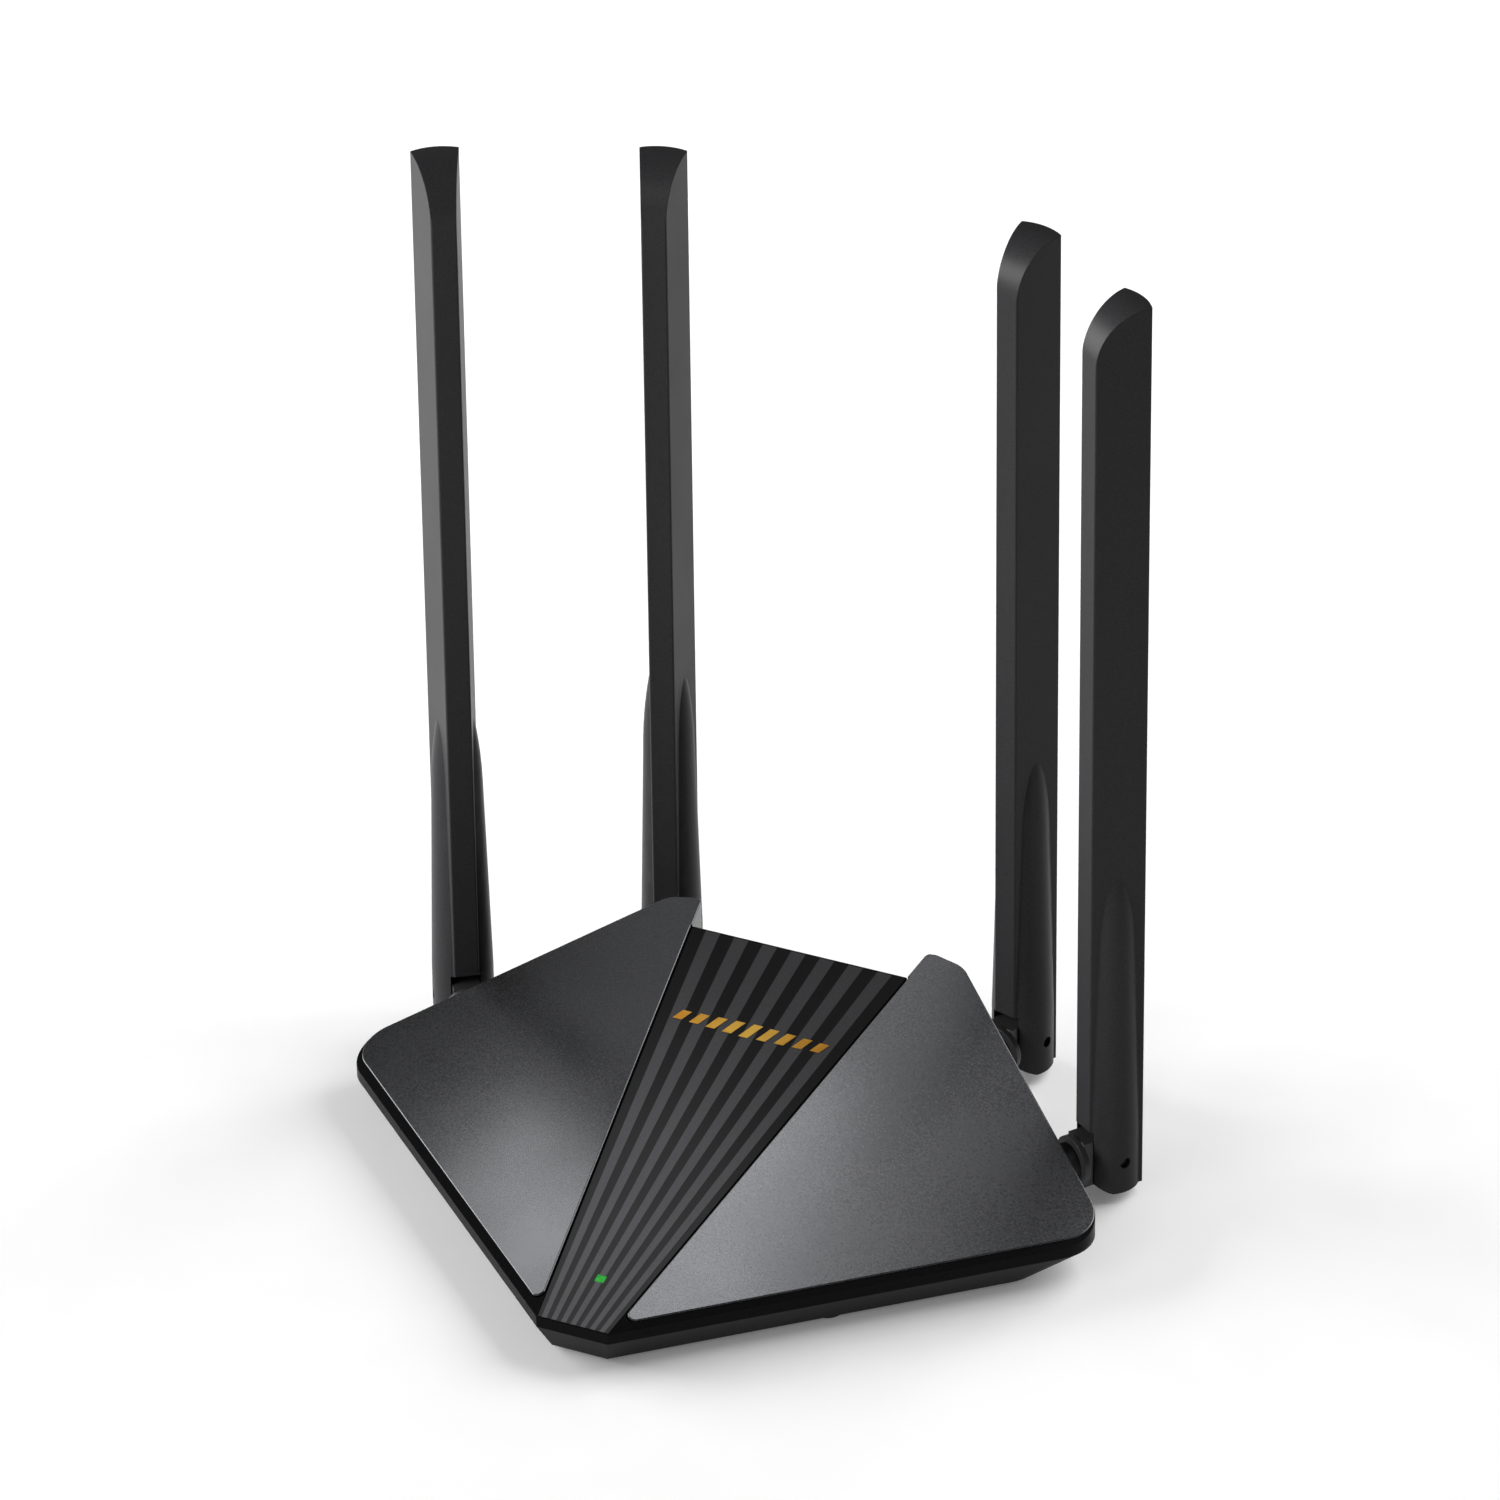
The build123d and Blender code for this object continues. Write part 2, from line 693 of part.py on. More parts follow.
def pocket():
    """The slot the knuckle turns in: open to the inner side and to the bottom."""
    reach = KNUCKLE_R + HINGE_GAP
    low = SLEEVE_BOTTOM - 1
    side = [
        (-SLEEVE_DEPTH - 4, low),
        (-SLEEVE_DEPTH - 4, POCKET_TOP + 0.6),
        (-SLEEVE_DEPTH, POCKET_TOP),
        (0, reach),
        (reach, 0),
        (reach, low),
    ]
    slot = extrude(Plane.YZ * polygon(side), POCKET_HALF, both=True)
    inner_corner = Pos(0, -12, low) * Box(30, 24, -low, align=ON_BASE)
    relief = inner_corner - along_x(-DISC_OUT - 0.3, 20)
    return slot + along_x(reach, POCKET_HALF) + relief


def antenna_sleeve(length):
    """Hollow whip: a flared blade with a flat inner face, and a rounded sleeve round the hinge."""
    blade = slab(blade_section(), SLEEVE_BOTTOM, length) & under_tip(length)
    sleeve = revolve(Plane.XZ * collar_profile(), Axis.Z)
    body = blade + (sleeve - Pos(0, -SLEEVE_DEPTH - 20, SLEEVE_BOTTOM) * Box(60, 40, 200, align=ON_BASE))
    core = slab(blade_section(SHELL_T), CORE_START_Z, length - 3)
    body -= core & (Pos(0, SHELL_T, -SHELL_T) * under_tip(length))
    body -= pocket()
    body -= rod(COAX_BORE_R, CORE_START_Z + 10)
    body -= along_x(PIN_R, 20)
    return body


def clip_end(name):
    """Y of the groove's far side on the swivel shaft."""
    return COLLAR_END[name] - 2 * HINGE_GAP - CLIP_T


def hinge_base(name):
    """Swivel disc with its hollow shaft, and the knuckle that carries the antenna."""
    end = clip_end(name)
    disc = along_y(DISC_R, DISC_OUT - DISC_T, DISC_OUT)
    side = [(DISC_OUT, DISC_R - 0.3), (0, KNUCKLE_R), (0, -KNUCKLE_R), (DISC_OUT, -DISC_R + 0.3)]
    arm = extrude(Plane.YZ * polygon(side), KNUCKLE_HALF, both=True)
    body = disc + arm + along_x(KNUCKLE_R, KNUCKLE_HALF) + along_y(SHAFT_R, end - SHAFT_END, DISC_OUT)
    body -= along_y(SHAFT_R + 1, end, COLLAR_END[name] - HINGE_GAP) - along_y(SHAFT_R - GROOVE, end, 0)
    body -= along_y(COAX_BORE_R, end - 2, -2.5)
    body -= along_x(PIN_R + SHAFT_PLAY, 20)
    return body


def hinge_clip(name):
    """Split ring in the shaft's groove that keeps the swivel in its collar."""
    high = COLLAR_END[name] - HINGE_GAP - 0.05
    ring = along_y(CLIP_R, high - CLIP_T, high) - along_y(SHAFT_R - GROOVE, high - 2, high + 1)
    return ring - Pos(0, high, -CLIP_R) * Box(CLIP_MOUTH, 8, 2 * CLIP_R)


def hinge_pin():
    return along_x(PIN_R, PIN_HALF)


def radiator(length):
    """The antenna's element: a narrow board standing in the whip."""
    tall = length - ELEMENT_SHORT - ELEMENT_START_Z
    return Pos(0, 1.0, ELEMENT_START_Z) * Box(*ELEMENT_SIZE, tall, align=ON_BASE)


def whip_coax():
    """The coax from the pocket up to the foot of the element."""
    start = KNUCKLE_R + SHELL_T
    return Pos(0, 0, start) * rod(COAX_R, ELEMENT_START_Z - start)


# Circuit board


def main_board():
    board = slab(polygon(both_sides(BOARD_OUTLINE)), BOARD_Z, BOARD_TOP)
    for x, y in SCREWS:
        board -= Pos(x, y, BOARD_Z) * Cylinder(SCREW_R + SCREW_PLAY, 8)
    return board


def heat_sink():
    """Base plate with upright fins, on the processor."""
    base_z = CHIP_SIZE[2]
    sink = Pos(0, 0, BOARD_TOP + base_z) * Box(SINK_WIDTH, SINK_WIDTH, SINK_BASE, align=ON_BASE)
    for k in range(FINS):
        x = (k - FINS // 2) * FIN_PITCH
        fin = Box(FIN_T, SINK_WIDTH, FIN_H, align=ON_BASE)
        sink += Pos(x, 0, BOARD_TOP + base_z + SINK_BASE) * fin
    return sink


def shield_can(x):
    """A folded cover over one radio section."""
    width, depth, height = CAN_SIZE
    can = rounded_block(x, CAN_Y, CAN_SIZE, 1.0)
    inside = Box(width - 2 * CAN_T, depth - 2 * CAN_T, height - CAN_T + 1, align=ON_BASE)
    return can - Pos(x, CAN_Y, BOARD_TOP - 1) * inside


def capacitors():
    """Round cans beside the power inlet."""
    return group(Pos(x, y, BOARD_TOP) * rod(radius, height) for x, y, radius, height in CAPACITORS)


def network_transformers():
    return group(rounded_block(x, TRANSFORMER_Y, TRANSFORMER_SIZE, 0.8) for x in JACKS_X)


def inductors():
    return group(rounded_block(x, y, INDUCTOR_SIZE, 1.4) for x, y in INDUCTORS)


def rj45_jack(x):
    """A network socket: moulded shell open to the rear, with the latch notch at the bottom."""
    shell = on_board(x, JACK_FRONT_Y - JACK_D / 2, JACK_W, JACK_D, JACK_H)
    for width, height, middle in JACK_HOLES:
        hole = Box(width, 2 * JACK_HOLE_D, height)
        shell -= Pos(x, JACK_FRONT_Y, BOARD_TOP + middle) * hole
    return shell


def jack_contacts():
    """Gold springs slanting down into each network socket."""
    wires = []
    for x in JACKS_X:
        for k in range(CONTACTS):
            offset = (k - (CONTACTS - 1) / 2) * CONTACT_PITCH
            place = Pos(x + offset, JACK_FRONT_Y - 7.4, BOARD_TOP + 9.0)
            wires.append(place * Rot(CONTACT_TILT, 0, 0) * Box(*CONTACT_SIZE))
    return group(wires)


def dc_jack():
    """The power inlet: a block with a round socket and a centre pin."""
    body = on_board(DC_X, JACK_FRONT_Y - DC_D / 2, DC_W, DC_D, DC_H)
    axis = Pos(DC_X, JACK_FRONT_Y, BOARD_TOP + DC_AXIS)
    body -= axis * along_y(DC_BORE_R, -DC_BORE_D, 1)
    body += axis * along_y(DC_PIN_R, -DC_BORE_D - 1, -1)
    return body


def at_button(shape):
    return Pos(BUTTON_X, 0, BUTTON_Z) * shape


def reset_button():
    """The push cap: round head in the wall, flange behind it and a stem to the switch."""
    back_y = BLOCK_REAR_Y - 4.0
    head = along_y(BUTTON_R, back_y, BLOCK_REAR_Y + 0.6)
    flange = along_y(BUTTON_R + BUTTON_FLANGE, back_y, BLOCK_REAR_Y - WALL - 0.2)
    stem = along_y(STEM_R, SWITCH_FRONT_Y + 1.2, back_y)
    return at_button(head + flange + stem)


def switch_plunger():
    return at_button(along_y(PLUNGER_R, SWITCH_FRONT_Y - 0.9, SWITCH_FRONT_Y + 1.2))


def button_switch():
    """The switch standing on the board behind the cap."""
    width, depth, height = SWITCH_SIZE
    body = on_board(BUTTON_X, SWITCH_FRONT_Y - depth / 2, width, depth, height)
    return body - at_button(along_y(PLUNGER_R + 0.1, SWITCH_FRONT_Y - 1.6, SWITCH_FRONT_Y + 1))


# Leads from the hinges to the board


def coax_route(name):
    """Points of the lead in the case, from the swivel's shaft to the board."""
    x, y, turn, _ = ANTENNAS[name]
    out = (-sin(radians(turn)), cos(radians(turn)))
    start = clip_end(name) - SHAFT_END
    straight = start - 9
    pad_x, pad_y = OUTER_PAD if name.startswith("front") else INNER_PAD
    pad_x = pad_x if x > 0 else -pad_x
    first = (x + out[0] * start, y + out[1] * start, PIN_Z)
    second = (x + out[0] * straight, y + out[1] * straight, PIN_Z)
    landing = (pad_x, pad_y, BOARD_TOP + 1.3)
    lift = (
        pad_x + (second[0] - pad_x) * 0.45,
        pad_y + (second[1] - pad_y) * 0.45 - 0.5,
        BOARD_TOP + 1.9,
    )
    return [first, second, lift, landing]


def route_radii(points):
    """The largest arc that each corner of a route has room for."""
    radii = []
    for before, corner, after in zip(points, points[1:], points[2:]):
        here = Vector(*corner) - Vector(*before)
        there = Vector(*after) - Vector(*corner)
        turn = radians(here.get_angle(there))
        radii.append(0.45 * min(here.length, there.length) / tan(turn / 2))
    return radii


def board_coax(name):
    points = coax_route(name)
    path = FilletPolyline(*points, radius=route_radii(points))
    return sweep(Plane(path @ 0, z_dir=path % 0) * Circle(COAX_R), path=path)


def coax_connectors():
    """A small press-on cap on the board at the end of each lead."""
    caps = []
    for name in ANTENNAS:
        x, y, _ = coax_route(name)[-1]
        caps.append(Pos(x, y, BOARD_TOP) * rod(CONNECTOR_R, CONNECTOR_H) - board_coax(name))
    return group(caps)


# The whole router


def build_all():
    """Every piece of the router by its node name."""
    right_wing = right_wing_panel()
    parts = {
        "lower_case": lower_case(),
        "upper_casing": upper_casing(),
        "right_wing_panel": right_wing,
        "left_wing_panel": mirrored(right_wing),
        "centre_panel": centre_panel(),
        "panel_mark": panel_mark(),
        "light_pipe": light_pipe(),
        "status_led": on_board(0, LED_Y, *LED_SIZE),
        "main_board": main_board(),
        "processor_chip": on_board(0, 0, *CHIP_SIZE),
        "heat_sink": heat_sink(),
        "memory_chip": on_board(0, MEMORY_Y, *MEMORY_SIZE),
        "shield_can_left": shield_can(-CAN_X),
        "shield_can_right": shield_can(CAN_X),
        "network_transformers": network_transformers(),
        "capacitors": capacitors(),
        "inductors": inductors(),
        "wan_jack": rj45_jack(WAN_X),
        "lan_jack_inner": rj45_jack(LAN_INNER_X),
        "lan_jack_outer": rj45_jack(LAN_OUTER_X),
        "jack_contacts": jack_contacts(),
        "dc_jack": dc_jack(),
        "reset_button": reset_button(),
        "switch_plunger": switch_plunger(),
        "button_switch": button_switch(),
        "coax_connectors": coax_connectors(),
        "case_screws": case_screws(),
        "rubber_feet": rubber_feet(),
    }
    for name, (_, _, _, length) in ANTENNAS.items():
        parts["antenna_sleeve_" + name] = at_hinge(name, antenna_sleeve(length))
        parts["hinge_base_" + name] = at_hinge(name, hinge_base(name))
        parts["hinge_clip_" + name] = at_hinge(name, hinge_clip(name))
        parts["hinge_pin_" + name] = at_hinge(name, hinge_pin())
        parts["radiator_" + name] = at_hinge(name, radiator(length))
        parts["whip_coax_" + name] = at_hinge(name, whip_coax())
        parts["board_coax_" + name] = board_coax(name)
    return parts


os.makedirs("parts", exist_ok=True)
middle_y = (NOSE_Y + INNER_HINGE[1] + SLEEVE_R) / 2
for node, shape in build_all().items():
    export_step(Pos(0, -middle_y, 0) * shape, os.path.join("parts", node + ".step"))
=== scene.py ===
import json
from math import cos, radians, sin

import bpy
from mathutils import Matrix, Quaternion, Vector

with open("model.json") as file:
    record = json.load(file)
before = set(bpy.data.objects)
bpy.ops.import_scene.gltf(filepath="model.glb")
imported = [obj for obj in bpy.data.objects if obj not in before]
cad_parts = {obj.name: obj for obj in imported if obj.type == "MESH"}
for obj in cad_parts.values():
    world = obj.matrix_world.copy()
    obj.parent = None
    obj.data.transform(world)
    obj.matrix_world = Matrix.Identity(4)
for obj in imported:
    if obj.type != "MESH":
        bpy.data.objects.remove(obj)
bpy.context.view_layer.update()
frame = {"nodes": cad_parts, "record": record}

NODES = frame["nodes"]
MM = 0.001

# Camera, in the frame's own millimetres and in degrees
CAMERA_PLACE = (916.68, -1945.95, 1469.48)
CAMERA_AZIMUTH = 24.976
CAMERA_ELEVATION = 31.86
CAMERA_ROLL = -0.725
LENS = 240.0
SENSOR = 36.0
CLIP_START, CLIP_END = 0.05, 50.0  # metres

# What all the materials share. A noise's scale is in cells per metre.
NOISE_LOW, NOISE_HIGH = 0.3, 0.7  # noise values that count as 0 and 1
BEVEL_SAMPLES = 6
MIX_FACTOR, MIX_FIRST, MIX_SECOND, MIX_RESULT = 0, 6, 7, 2  # a Mix node's sockets for colour
DRAWN_X, DRAWN_Y, DRAWN_Z = (0.1, 1.0, 1.0), (1.0, 0.1, 1.0), (1.0, 1.0, 0.1)

# Edges painted paler, partly as wear and partly as a painted highlight, and uneven gloss on the
# moulded pieces
EDGE_REACH = 0.3 * MM
EDGE_NOISE = 400.0
EDGE_LEAST = 0.4
EDGE_GAIN = 1.2
EDGE_PALER, EDGE_LIFT = 1.6, 0.01  # how the light colour is scaled and raised along edges, as wear and as a painted highlight
GLOSS_NOISE = 28.0
GLOSS_SPREAD = 0.03
GRAIN_STRENGTH = 0.6

# Bare metal
METAL_LINES = 900.0
METAL_SMOOTHER, METAL_ROUGHER = 0.06, 0.08
METAL_DEPTH = 0.006 * MM
METAL_STRENGTH = 0.5
METAL_EDGE = 0.12 * MM

# The centre panel's bands
FAN_APEX_Y = -155.8 * MM  # where the bands would meet, on the centre line
FAN_HALF = 0.1497  # tangent of half the fan's angle
BANDS = 15
BAND_METALLIC = 0.7
PANEL_ROUGH = 0.3
BAND_ROUGHER = 0.08
PANEL_UNEVEN = 0.02

GOLD_SHADE_REACH = 22.0 * MM  # from the centre line to where the painted shade has made the gold fully dark orange
GOLD_UNEVEN = 0.1
TRACK_CELLS = 260.0
TRACK_WIDTH = 0.08  # as a share of a cell
LAMP_ROUGH = 0.3
LAMP_GLOW = 0.22

# The stage, in metres
FLOOR_SIZE = 12.0
FLOOR_ROUGH = 0.9
FLOOR_GLOW = 0.12
WORLD_STRENGTH = 0.15

LEFT_WING = ("left_wing_panel",)
RIGHT_WING = ("right_wing_panel",)
CENTRE = ("centre_panel", "panel_mark")
WHIPS = [name for name in NODES if name.startswith(("antenna_sleeve", "hinge_base"))]
NOT_WHIPS = [name for name in NODES if name not in WHIPS]

# Lights that reach only the CAD nodes in their own row, in metres, watts and degrees
GLOW_BOXES = (
    dict(name="left_wing_wash", place=(-0.081, 0.153, 0.248), target=(-0.03, -0.01, 0.024),
         size=(0.22, 0.3), power=0.12, nodes=LEFT_WING, spin=42.0),
    dict(name="left_nose_glow", place=(-0.132, 0.013, 0.136), target=(-0.01, -0.085, 0.012),
         size=(0.05, 0.07), power=0.045, nodes=LEFT_WING),
    dict(name="right_wing_wash", place=(-0.038, 0.054, 0.2645), target=(0.04, -0.01, 0.022),
         size=(0.24, 0.3), power=0.28, nodes=RIGHT_WING, spin=-28.0),
    dict(name="right_nose_glow", place=(0.011, 0.014, 0.195), target=(0.02, -0.07, 0.014),
         size=(0.05, 0.12), power=0.066, nodes=RIGHT_WING),
    dict(name="panel_glow", place=(-0.11, 0.05, 0.26), target=(0.0, -0.12, 0.01),
         size=(0.1, 0.1), power=0.1, nodes=CENTRE),
    dict(name="whip_box", place=(-1.05, -1.15, 0.9), target=(0.0, 0.0, 0.14),
         size=(1.0, 1.0), power=55.0, nodes=WHIPS),
)

# The key light, which misses the whips, and the two lights that reach everything
KEY_BOX = dict(name="key_box", place=(1.0, 1.3, 1.3), target=(0.0, 0.0, 0.05),
               size=(1.8, 1.8), power=45.0)
FILL_BOXES = (
    dict(name="front_box", place=(-0.9, -1.8, 1.5), target=(0.0, 0.0, 0.05),
         size=(1.5, 1.5), power=8.0),
    dict(name="side_box", place=(-1.5, -0.1, 0.45), target=(0.0, 0.0, 0.12),
         size=(1.2, 0.9), power=30.0),
)


# ---------------------------------------------------------------- node helpers

class Shader:
    """A node material in the making: a principled shader with helpers that add and link nodes."""

    def __init__(self, name, metallic=0.0, specular=0.5):
        self.material = bpy.data.materials.new(name)
        self.material.use_nodes = True
        self.tree = self.material.node_tree
        self.bsdf = self.tree.nodes["Principled BSDF"]
        self.place = self.add("ShaderNodeTexCoord").outputs["Object"]
        self.set("Metallic", metallic)
        self.set("Specular IOR Level", specular)

    def set(self, socket, value):
        self.bsdf.inputs[socket].default_value = value

    def add(self, kind, **settings):
        node = self.tree.nodes.new(kind)
        for key, value in settings.items():
            setattr(node, key, value)
        return node

    def link(self, output, socket):
        self.tree.links.new(output, socket)

    def feed(self, output, socket):
        """Link an output to one of the shader's own sockets."""
        self.link(output, self.bsdf.inputs[socket])

    def math(self, operation, first, second=0.0, third=0.0):
        """A math node; each operand is an output or a number."""
        node = self.add("ShaderNodeMath", operation=operation)
        for socket, operand in zip(node.inputs, (first, second, third)):
            if isinstance(operand, (int, float)):
                socket.default_value = operand
            else:
                self.link(operand, socket)
        return node.outputs[0]

    def split_place(self):
        """The X, Y and Z outputs of a place on the piece, in metres."""
        split = self.add("ShaderNodeSeparateXYZ")
        self.link(self.place, split.inputs[0])
        return split.outputs

    def noise(self, scale, detail=2.0, stretch=(1.0, 1.0, 1.0)):
        """Noise over the piece's own space, with scale in cells per metre."""
        mapping = self.add("ShaderNodeMapping")
        mapping.inputs["Scale"].default_value = stretch
        self.link(self.place, mapping.inputs["Vector"])
        node = self.add("ShaderNodeTexNoise")
        node.inputs["Scale"].default_value = scale
        node.inputs["Detail"].default_value = detail
        self.link(mapping.outputs[0], node.inputs["Vector"])
        return node.outputs["Fac"]

    def spread(self, noise, low=0.0, high=1.0):
        """Map the usual range of a noise onto low to high."""
        node = self.add("ShaderNodeMapRange")
        self.link(noise, node.inputs["Value"])
        node.inputs["From Min"].default_value = NOISE_LOW
        node.inputs["From Max"].default_value = NOISE_HIGH
        node.inputs["To Min"].default_value = low
        node.inputs["To Max"].default_value = high
        return node.outputs[0]

    def mix(self, factor, first, second):
        """Blend two colours by a factor; each colour is an output or a triple."""
        node = self.add("ShaderNodeMix", data_type="RGBA")
        self.link(factor, node.inputs[MIX_FACTOR])
        for index, colour in ((MIX_FIRST, first), (MIX_SECOND, second)):
            if isinstance(colour, tuple):
                node.inputs[index].default_value = (*colour, 1.0)
            else:
                self.link(colour, node.inputs[index])
        return node.outputs[MIX_RESULT]

    def rounded(self, radius):
        """The normal with edges rounded over a radius in metres."""
        bevel = self.add("ShaderNodeBevel", samples=BEVEL_SAMPLES)
        bevel.inputs["Radius"].default_value = radius
        return bevel.outputs[0]

    def bump(self, height, depth, strength, edge=0.0):
        """Bump from a height of 0 to 1, with its depth and the edges' radius in metres."""
        node = self.add("ShaderNodeBump")
        node.inputs["Strength"].default_value = strength
        node.inputs["Distance"].default_value = depth
        self.link(height, node.inputs["Height"])
        if edge:
            self.link(self.rounded(edge), node.inputs["Normal"])
        self.feed(node.outputs[0], "Normal")

    def edge_wear_and_highlight(self):
        """0 on flat stretches and more towards sharp edges, broken up by noise: where edges are
        painted paler, as wear and as a painted highlight.
        """
        bevelled = self.rounded(EDGE_REACH)
        geometry = self.add("ShaderNodeNewGeometry")
        dot = self.add("ShaderNodeVectorMath", operation="DOT_PRODUCT")
        self.link(bevelled, dot.inputs[0])
        self.link(geometry.outputs["Normal"], dot.inputs[1])
        edge = self.math("SUBTRACT", 1.0, dot.outputs["Value"])
        broken = self.math("MULTIPLY", edge, self.spread(self.noise(EDGE_NOISE), EDGE_LEAST))
        return self.math("MULTIPLY", broken, EDGE_GAIN)


# ---------------------------------------------------------------- materials

def moulded(name, dark, light, rough, grain, depth, specular=0.5, edge=0.25, metallic=0.0):
    """Speckled colour, uneven gloss, fine grain and edges painted paler, as wear and as a painted
    highlight; depth and edge in millimetres.
    """
    s = Shader(name, metallic, specular)
    fine = s.noise(grain, 3.0)
    broad = s.noise(GLOSS_NOISE)
    colour = s.mix(s.spread(fine), dark, light)
    # Paler colour along edges: part wear, part painted highlight.
    worn_and_highlit = tuple(min(1.0, EDGE_PALER * c + EDGE_LIFT) for c in light)
    s.feed(s.mix(s.edge_wear_and_highlight(), colour, worn_and_highlit), "Base Color")
    speckle = s.spread(fine, -GLOSS_SPREAD, GLOSS_SPREAD)
    clouds = s.spread(broad, rough - GLOSS_SPREAD, rough + GLOSS_SPREAD)
    s.feed(s.math("ADD", speckle, clouds), "Roughness")
    s.bump(fine, depth * MM, GRAIN_STRENGTH, edge * MM)
    return s.material


def metal(name, dark, light, rough, stretch):
    """Bare metal with drawn lines along one way and softened edges."""
    s = Shader(name, metallic=1.0)
    lines = s.noise(METAL_LINES, 3.0, stretch)
    s.feed(s.mix(s.spread(lines), dark, light), "Base Color")
    s.feed(s.spread(lines, rough - METAL_SMOOTHER, rough + METAL_ROUGHER), "Roughness")
    s.bump(lines, METAL_DEPTH, METAL_STRENGTH, METAL_EDGE)
    return s.material


def striped_panel():
    """Gloss black with paler bands that fan out from a point ahead of the nose."""
    s = Shader("striped_panel", specular=0.14)
    place = s.split_place()
    ahead = s.math("SUBTRACT", place["Y"], FAN_APEX_Y)
    ratio = s.math("DIVIDE", place["X"], ahead)
    band = s.math("MULTIPLY_ADD", ratio, BANDS / (2 * FAN_HALF), BANDS / 2)
    phase = s.math("MODULO", band, 2.0)
    stripe = s.math("GREATER_THAN", phase, 1.0)
    fine = s.spread(s.noise(2400.0, 3.0))
    black = s.mix(fine, (0.006, 0.006, 0.0065), (0.008, 0.008, 0.0085))
    grey = s.mix(fine, (0.060, 0.060, 0.063), (0.076, 0.076, 0.080))
    s.feed(s.mix(stripe, black, grey), "Base Color")
    s.feed(s.math("MULTIPLY", stripe, BAND_METALLIC), "Metallic")
    broad = s.spread(s.noise(30.0), -PANEL_UNEVEN, PANEL_UNEVEN)
    banded = s.math("MULTIPLY_ADD", stripe, BAND_ROUGHER, PANEL_ROUGH)
    s.feed(s.math("ADD", banded, broad), "Roughness")
    return s.material


def gold_foil():
    """Warm gold foil with a painted highlight over the middle of the row and painted shade that
    darkens it to orange towards both ends.
    """
    s = Shader("gold_foil", metallic=1.0)
    # Painted highlight and shade: paler in the middle, darker and more orange towards both ends.
    shaded_ends = s.math("MULTIPLY", s.math("ABSOLUTE", s.split_place()["X"]), 1.0 / GOLD_SHADE_REACH)
    grain = s.spread(s.noise(500.0), -GOLD_UNEVEN, GOLD_UNEVEN)
    s.feed(s.mix(s.math("ADD", shaded_ends, grain), (0.85, 0.52, 0.09), (0.66, 0.3, 0.04)), "Base Color")
    s.feed(s.spread(s.noise(300.0), 0.34, 0.4), "Roughness")
    return s.material


def board_mask():
    """Green solder mask over faint tracks."""
    s = Shader("board_mask")
    tracks = s.add("ShaderNodeTexVoronoi", feature="DISTANCE_TO_EDGE")
    tracks.inputs["Scale"].default_value = TRACK_CELLS
    s.link(s.place, tracks.inputs["Vector"])
    line = s.math("LESS_THAN", tracks.outputs["Distance"], TRACK_WIDTH)
    s.feed(s.mix(line, (0.008, 0.06, 0.025), (0.02, 0.13, 0.05)), "Base Color")
    s.feed(s.spread(s.noise(300.0), 0.3, 0.42), "Roughness")
    s.bump(line, depth=0.03 * MM, strength=0.4)
    return s.material


def element_laminate():
    """Bare woven laminate, tan and slightly uneven."""
    s = Shader("element_laminate")
    weave = s.noise(2500.0, stretch=(1.0, 1.0, 0.4))
    s.feed(s.mix(s.spread(weave), (0.17, 0.15, 0.06), (0.26, 0.23, 0.1)), "Base Color")
    s.feed(s.spread(weave, 0.42, 0.6), "Roughness")
    s.bump(weave, depth=0.02 * MM, strength=0.5)
    return s.material


def lit_lamp():
    """Clear green light pipe, lit from below."""
    s = Shader("lit_lamp")
    s.set("Roughness", LAMP_ROUGH)
    glow = s.spread(s.noise(900.0))
    s.feed(s.mix(glow, (0.02, 0.2, 0.03), (0.04, 0.34, 0.05)), "Base Color")
    s.feed(s.mix(glow, (0.02, 0.5, 0.03), (0.06, 0.7, 0.07)), "Emission Color")
    s.set("Emission Strength", LAMP_GLOW)
    return s.material


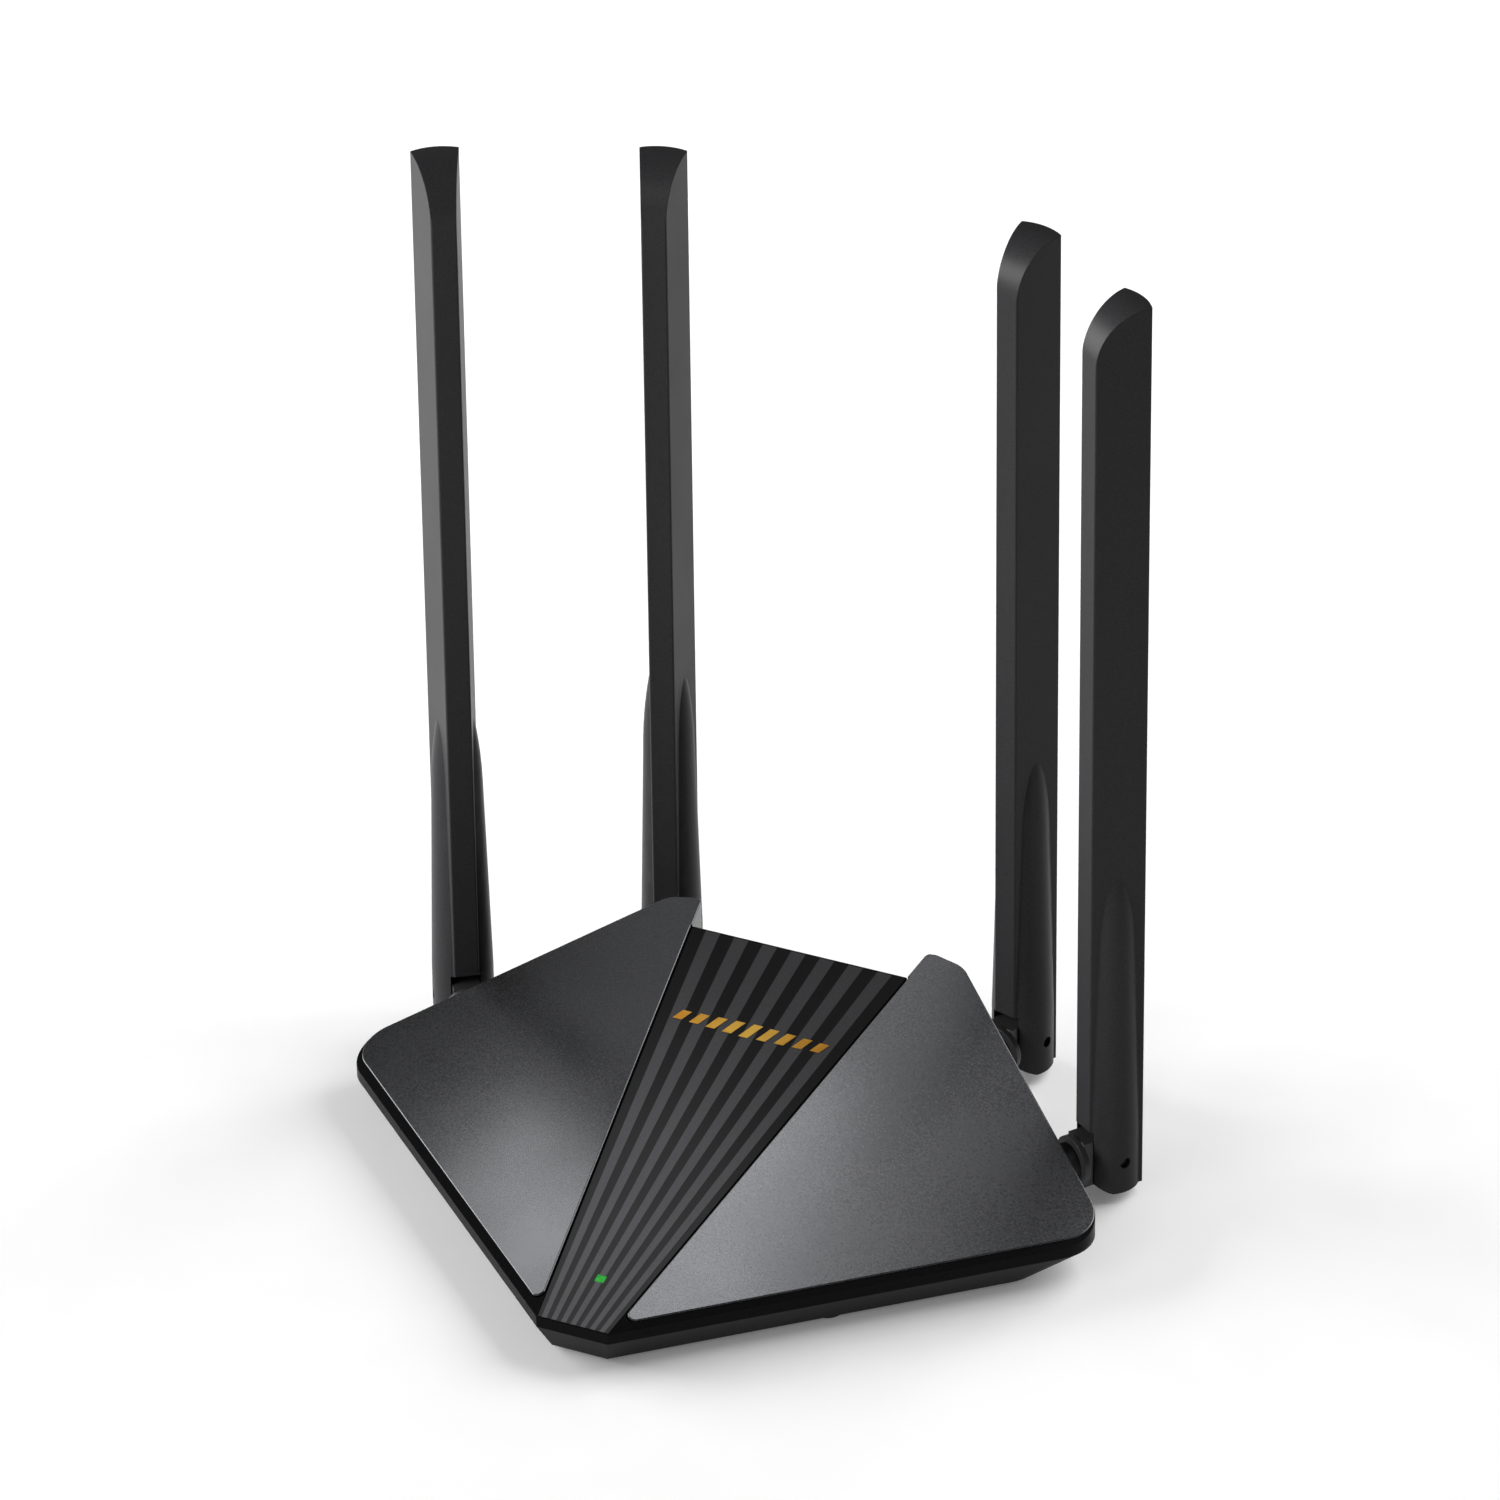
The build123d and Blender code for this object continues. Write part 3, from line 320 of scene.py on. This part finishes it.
def material_set():
    """Every material by the record's slot name, and "pin", which the record doesn't have."""
    return {
        "wing": moulded("wing_lacquer", dark=(0.061, 0.062, 0.065), light=(0.084, 0.085, 0.089),
                        rough=0.27, grain=1600.0, depth=0.0002, edge=0.0, metallic=0.97),
        "casing": moulded("casing_black", dark=(0.003, 0.003, 0.0034), light=(0.0045, 0.0045, 0.005),
                          rough=0.3, grain=1500.0, depth=0.0006, specular=0.05, edge=0.2),
        "panel": striped_panel(),
        "mark": gold_foil(),
        "base": moulded("base_grey", dark=(0.009, 0.009, 0.0095), light=(0.016, 0.016, 0.017),
                        rough=0.5, grain=2600.0, depth=0.012, specular=0.16, edge=0.3),
        "antenna": moulded("antenna_satin", dark=(0.013, 0.013, 0.0138), light=(0.021, 0.021, 0.0224),
                           rough=0.4, grain=2600.0, depth=0.008, specular=0.12, edge=0.3),
        "hinge": moulded("hinge_satin", dark=(0.011, 0.011, 0.0115), light=(0.018, 0.018, 0.019),
                         rough=0.38, grain=2400.0, depth=0.008, specular=0.35),
        "rubber": moulded("foot_rubber", dark=(0.012, 0.012, 0.012), light=(0.024, 0.024, 0.024),
                          rough=0.75, grain=1800.0, depth=0.04, specular=0.3),
        "steel": metal("zinc_steel", dark=(0.42, 0.42, 0.43), light=(0.62, 0.62, 0.63),
                       rough=0.3, stretch=DRAWN_Z),
        # Hinge pins painted near-black: painted shade of the recesses they sit in.
        "pin": metal("pin_painted_shade", dark=(0.02, 0.02, 0.021), light=(0.035, 0.035, 0.036),
                     rough=0.4, stretch=DRAWN_Z),
        "lamp": lit_lamp(),
        "board": board_mask(),
        "chip": moulded("chip_plastic", dark=(0.018, 0.018, 0.019), light=(0.03, 0.03, 0.031),
                        rough=0.55, grain=3000.0, depth=0.02),
        "sink": metal("anodised", dark=(0.5, 0.5, 0.52), light=(0.66, 0.66, 0.68),
                      rough=0.35, stretch=DRAWN_Y),
        "can": metal("tin_plate", dark=(0.55, 0.55, 0.53), light=(0.7, 0.7, 0.68),
                     rough=0.28, stretch=DRAWN_X),
        "socket": moulded("socket_plastic", dark=(0.009, 0.009, 0.010), light=(0.014, 0.014, 0.015),
                          rough=0.35, grain=1800.0, depth=0.006),
        "contact": metal("gold_flash", dark=(0.75, 0.5, 0.18), light=(0.9, 0.66, 0.28),
                         rough=0.25, stretch=DRAWN_Y),
        "button": moulded("button_satin", dark=(0.03, 0.03, 0.032), light=(0.045, 0.045, 0.047),
                          rough=0.4, grain=2400.0, depth=0.01),
        "capacitor": metal("capacitor_can", dark=(0.2, 0.2, 0.24), light=(0.3, 0.3, 0.34),
                           rough=0.4, stretch=(1.0, 1.0, 0.2)),
        "ferrite": moulded("ferrite", dark=(0.05, 0.05, 0.052), light=(0.08, 0.08, 0.082),
                           rough=0.6, grain=2200.0, depth=0.03),
        "coax": moulded("coax_jacket", dark=(0.02, 0.02, 0.021), light=(0.032, 0.032, 0.034),
                        rough=0.4, grain=1200.0, depth=0.01),
        "element": element_laminate(),
    }


def dress_nodes():
    """Give every CAD node its slot's material, but the hinge pins, in the steel slot, a near-black
    one that paints the shade of their holes onto them.
    """
    materials = material_set()
    for part in frame["record"]["subparts"]:
        name = part["node"]
        slot = "pin" if name.startswith("hinge_pin") else part["material_slot"]
        finishes = NODES[name].data.materials
        finishes.clear()
        finishes.append(materials[slot])


# ---------------------------------------------------------------- stage

def floor():
    """A plain pale floor far wider than the view."""
    bpy.ops.mesh.primitive_plane_add(size=FLOOR_SIZE, location=(0, 0, 0))
    plane = bpy.context.object
    plane.name = "studio_floor"
    s = Shader("floor_paper", specular=0.1)
    s.set("Roughness", FLOOR_ROUGH)
    s.feed(s.mix(s.spread(s.noise(60.0)), (0.91, 0.91, 0.91), (0.93, 0.93, 0.93)), "Base Color")
    s.set("Emission Color", (1.0, 1.0, 1.0, 1.0))
    s.set("Emission Strength", FLOOR_GLOW)
    plane.data.materials.append(s.material)


def softbox(name, place, target, size, power, spin=0.0):
    """A soft light, aimed at a target and spun about its aim, which the camera doesn't see."""
    lamp = bpy.data.lights.new(name, "AREA")
    lamp.shape = "RECTANGLE"
    lamp.size, lamp.size_y = size
    lamp.energy = power
    holder = bpy.data.objects.new(name, lamp)
    bpy.context.scene.collection.objects.link(holder)
    holder.location = place
    aim = Vector(target) - Vector(place)
    holder.rotation_mode = "QUATERNION"
    spun = Quaternion((0.0, 0.0, 1.0), radians(spin))
    holder.rotation_quaternion = aim.to_track_quat("-Z", "Y") @ spun
    holder.visible_camera = False
    return holder


def collected(name, nodes):
    """A new collection of the named CAD nodes, for a light to be limited to."""
    catchers = bpy.data.collections.new(name)
    for node in nodes:
        catchers.objects.link(NODES[node])
    return catchers


def glow_box(nodes, **row):
    """A soft light that only the named CAD nodes catch, and that nothing but them shades."""
    holder = softbox(**row)
    catchers = collected(row["name"] + "_catchers", nodes)
    holder.light_linking.receiver_collection = catchers
    holder.light_linking.blocker_collection = catchers


def lights():
    """A pale world, the lights of single pieces, and the studio's own three."""
    world = bpy.data.worlds.new("studio")
    bpy.context.scene.world = world
    world.use_nodes = True
    background = world.node_tree.nodes["Background"]
    background.inputs["Color"].default_value = (1.0, 1.0, 1.0, 1.0)
    background.inputs["Strength"].default_value = WORLD_STRENGTH
    for row in GLOW_BOXES:
        glow_box(**row)
    key = softbox(**KEY_BOX)
    catchers = collected("key_catchers", NOT_WHIPS)
    catchers.objects.link(bpy.data.objects["studio_floor"])
    key.light_linking.receiver_collection = catchers
    for row in FILL_BOXES:
        softbox(**row)


def camera():
    """The camera of the usual view: a long lens, seen from the right front and above."""
    az, el, roll = radians(CAMERA_AZIMUTH), radians(CAMERA_ELEVATION), radians(CAMERA_ROLL)
    back = Vector((sin(az) * cos(el), -cos(az) * cos(el), sin(el)))
    right = Vector((cos(az), sin(az), 0.0))
    up = back.cross(right)
    tilted_right = cos(roll) * right + sin(roll) * up
    tilted_up = cos(roll) * up - sin(roll) * right
    turn = Matrix((tilted_right, tilted_up, back)).transposed()
    data = bpy.data.cameras.new("camera")
    data.lens = LENS
    data.sensor_width = SENSOR
    data.clip_start = CLIP_START
    data.clip_end = CLIP_END
    holder = bpy.data.objects.new("camera", data)
    bpy.context.scene.collection.objects.link(holder)
    holder.matrix_world = Matrix.Translation(Vector(CAMERA_PLACE) * MM) @ turn.to_4x4()
    bpy.context.scene.camera = holder


dress_nodes()
floor()
lights()
camera()
bpy.context.scene.view_settings.view_transform = "Standard"
